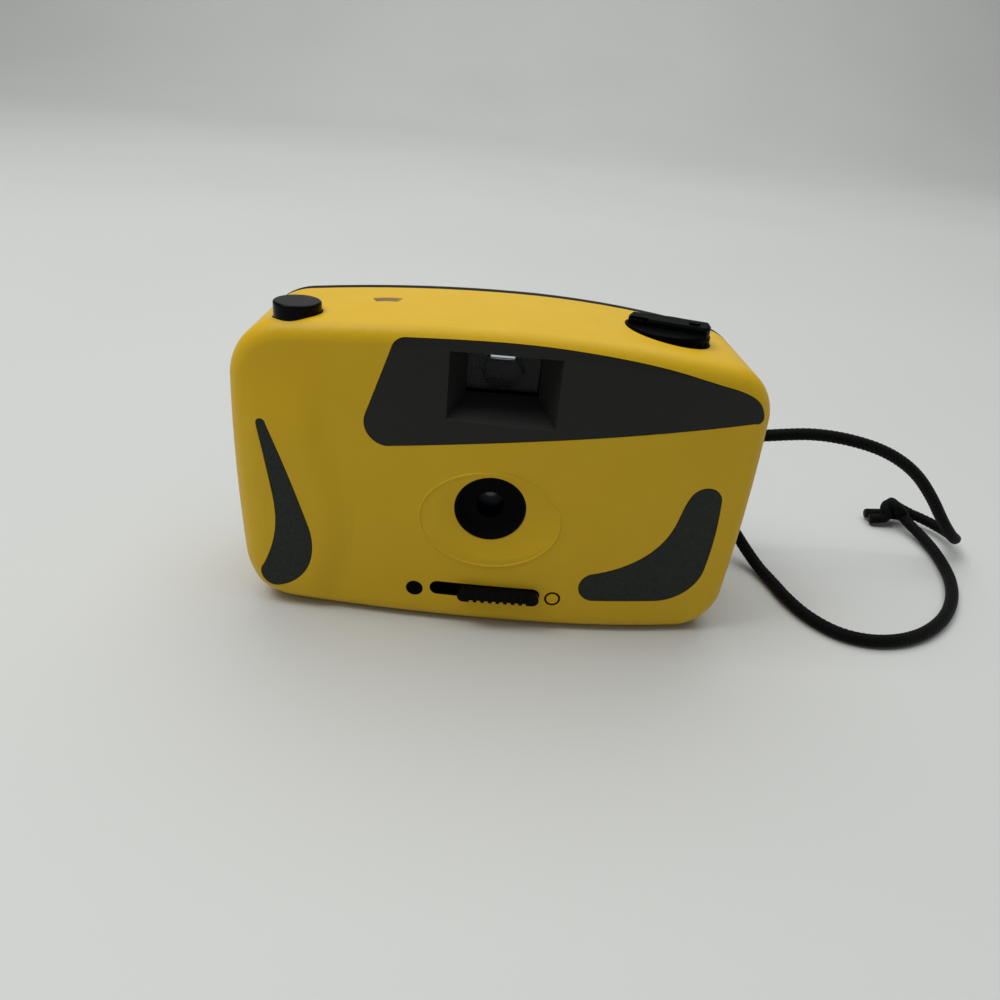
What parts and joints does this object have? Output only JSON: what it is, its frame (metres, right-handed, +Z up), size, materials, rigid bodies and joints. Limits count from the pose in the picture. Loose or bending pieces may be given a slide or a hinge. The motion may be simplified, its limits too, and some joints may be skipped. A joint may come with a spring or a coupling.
{
  "type": "compact film camera",
  "caption": "Fixed-lens compact film camera: bowed plastic body with sliding lens cover, direct viewfinder, thumbwheel advance, fold-out rewind crank, hinged film door and wrist strap.",
  "frame": {"origin": "middle of the box of the camera without its strap, on the surface it stands on", "axes": "+X to the right seen from in front of the lens, +Y from the lens side to the back, +Z up"},
  "size_m": [0.2107, 0.0758, 0.0747],
  "materials": {
    "yellow_abs": "satin moulded",
    "black_panel": "satin moulded",
    "grip_rubber": "fine grained",
    "black_abs": "matte moulded",
    "gloss_black": "polished",
    "clear_plastic": "clear",
    "lens_glass": "coated",
    "steel": "bright",
    "spring_steel": "bright",
    "blackened_steel": "blackened",
    "white_plastic": "satin",
    "foam": "foam",
    "braided_cord": "braided polyester"
  },
  "bodies": {
    "camera_case": {"front_cover": "yellow_abs", "viewfinder_panel": "black_panel", "left_grip": "grip_rubber", "right_grip": "grip_rubber", "lens_dish": "gloss_black", "lens_barrel": "black_abs", "lens_retaining_ring": "black_abs", "front_lens": "lens_glass", "aperture_disc": "blackened_steel", "rear_lens": "lens_glass", "viewfinder_tunnel": "black_abs", "viewfinder_front_lens": "clear_plastic", "eyepiece_lens": "clear_plastic", "film_chassis": "black_abs", "shutter_plate": "blackened_steel", "blade_pin": "steel", "blade_spring": "spring_steel", "lever_pin": "steel", "lever_spring": "spring_steel", "shutter_screws": "steel", "button_spring": "spring_steel", "counter_window": "clear_plastic", "release_spring": "spring_steel", "pawl_pin": "steel", "pawl_spring": "spring_steel", "rear_frame": "black_abs", "strap_lug_pin": "steel", "door_hinge_pin": "steel", "case_screws": "steel", "strap_hitch": "braided_cord", "strap_cord_upper": "braided_cord", "strap_cord_lower": "braided_cord", "strap_knot": "braided_cord"},
    "film_door": {"film_door": "black_abs", "film_window": "clear_plastic", "pressure_plate": "blackened_steel", "pressure_spring": "spring_steel", "door_light_seals": "foam", "latch_spring": "spring_steel"},
    "door_latch": {"door_latch": "gloss_black"},
    "take_up": {"take_up_spool": "black_abs", "advance_wheel": "black_abs", "wheel_screw": "steel"},
    "advance_pawl": {"advance_pawl": "steel"},
    "sprocket": {"sprocket_shaft": "white_plastic"},
    "counter_dial": {"counter_dial": "white_plastic"},
    "shutter_button": {"shutter_button": "gloss_black"},
    "release_lever": {"release_lever": "steel"},
    "shutter_blade": {"shutter_blade": "blackened_steel"},
    "lens_cover": {"cover_slide_knob": "gloss_black", "lens_cover_plate": "black_abs"},
    "rewind_washer": {"rewind_drag_washer": "black_abs"},
    "rewind_knob": {"rewind_knob": "gloss_black", "rewind_shaft": "black_abs", "crank_pin": "steel"},
    "rewind_crank": {"rewind_crank": "gloss_black"},
    "crank_handle": {"crank_handle": "gloss_black"},
    "rewind_release": {"rewind_release": "gloss_black"}
  },
  "joints": [
    {"name": "film_door_swing", "type": "hinge", "parent": "camera_case", "child": "film_door", "pos_m": [-0.0556, 0.0189, 0.0304], "axis": [0, 0, 1], "range_deg": [0, 110]},
    {"name": "door_latch_slide", "type": "slide", "parent": "film_door", "child": "door_latch", "axis": [0, 0, -1], "range_m": [0, 0.0025], "stiffness_N_per_m": 300, "springref_m": -0.001, "deforming": ["latch_spring"]},
    {"name": "advance_wheel_turn", "type": "hinge", "parent": "camera_case", "child": "take_up", "pos_m": [-0.0415, 0.0075, 0.035], "axis": [0, 0, 1], "continuous": true},
    {"name": "advance_pawl_click", "type": "hinge", "parent": "camera_case", "child": "advance_pawl", "pos_m": [-0.0263, -0.0004, 0.061], "axis": [0, 0, 1], "range_deg": [0, 6], "stiffness_Nm_per_rad": 0.01, "springref_deg": -5.73},
    {"name": "sprocket_turn", "type": "hinge", "parent": "camera_case", "child": "sprocket", "pos_m": [-0.0239, 0.00655, 0.03245], "axis": [0, 0, 1], "continuous": true},
    {"name": "counter_dial_turn", "type": "hinge", "parent": "camera_case", "child": "counter_dial", "pos_m": [-0.0273, -0.0058, 0.0687], "axis": [0, 0, 1], "continuous": true},
    {"name": "shutter_button_press", "type": "slide", "parent": "camera_case", "child": "shutter_button", "axis": [0, 0, -1], "range_m": [0, 0.0018], "stiffness_N_per_m": 500, "springref_m": -0.001, "deforming": ["button_spring"]},
    {"name": "release_lever_turn", "type": "hinge", "parent": "camera_case", "child": "release_lever", "pos_m": [-0.022, -0.0096, 0.046], "axis": [0, -1, 0], "range_deg": [0, 4.6]},
    {"name": "shutter_blade_swing", "type": "hinge", "parent": "camera_case", "child": "shutter_blade", "pos_m": [-0.011, -0.0074, 0.04], "axis": [0, -1, 0], "range_deg": [0, 40], "stiffness_Nm_per_rad": 0.002, "springref_deg": -20.05},
    {"name": "lens_cover_slide", "type": "slide", "parent": "camera_case", "child": "lens_cover", "axis": [-1, 0, 0], "range_m": [0, 0.006]},
    {"name": "rewind_turn", "type": "hinge", "parent": "camera_case", "child": "rewind_washer", "pos_m": [0.0364, -0.0011, 0.0588], "axis": [0, 0, 1], "continuous": true},
    {"name": "rewind_lift", "type": "slide", "parent": "rewind_washer", "child": "rewind_knob", "axis": [0, 0, 1], "range_m": [0, 0.007]},
    {"name": "crank_fold", "type": "hinge", "parent": "rewind_knob", "child": "rewind_crank", "pos_m": [0.02974, 0.00106, 0.073], "axis": [-0.309, -0.9511, 0], "range_deg": [0, 150]},
    {"name": "crank_handle_spin", "type": "hinge", "parent": "rewind_crank", "child": "crank_handle", "pos_m": [0.04173, -0.00283, 0.073], "axis": [0, 0, 1], "continuous": true},
    {"name": "rewind_release_press", "type": "slide", "parent": "camera_case", "child": "rewind_release", "axis": [0, 0, 1], "range_m": [0, 0.0012], "stiffness_N_per_m": 300, "springref_m": -0.001, "deforming": ["release_spring"]}
  ],
  "couplings": [
    {"joint": "sprocket_turn", "follows": "advance_wheel_turn", "ratio": 1.3},
    {"joint": "counter_dial_turn", "follows": "advance_wheel_turn", "ratio": -0.0325},
    {"joint": "release_lever_turn", "follows": "shutter_button_press", "rad_per_m": 43.5}
  ]
}
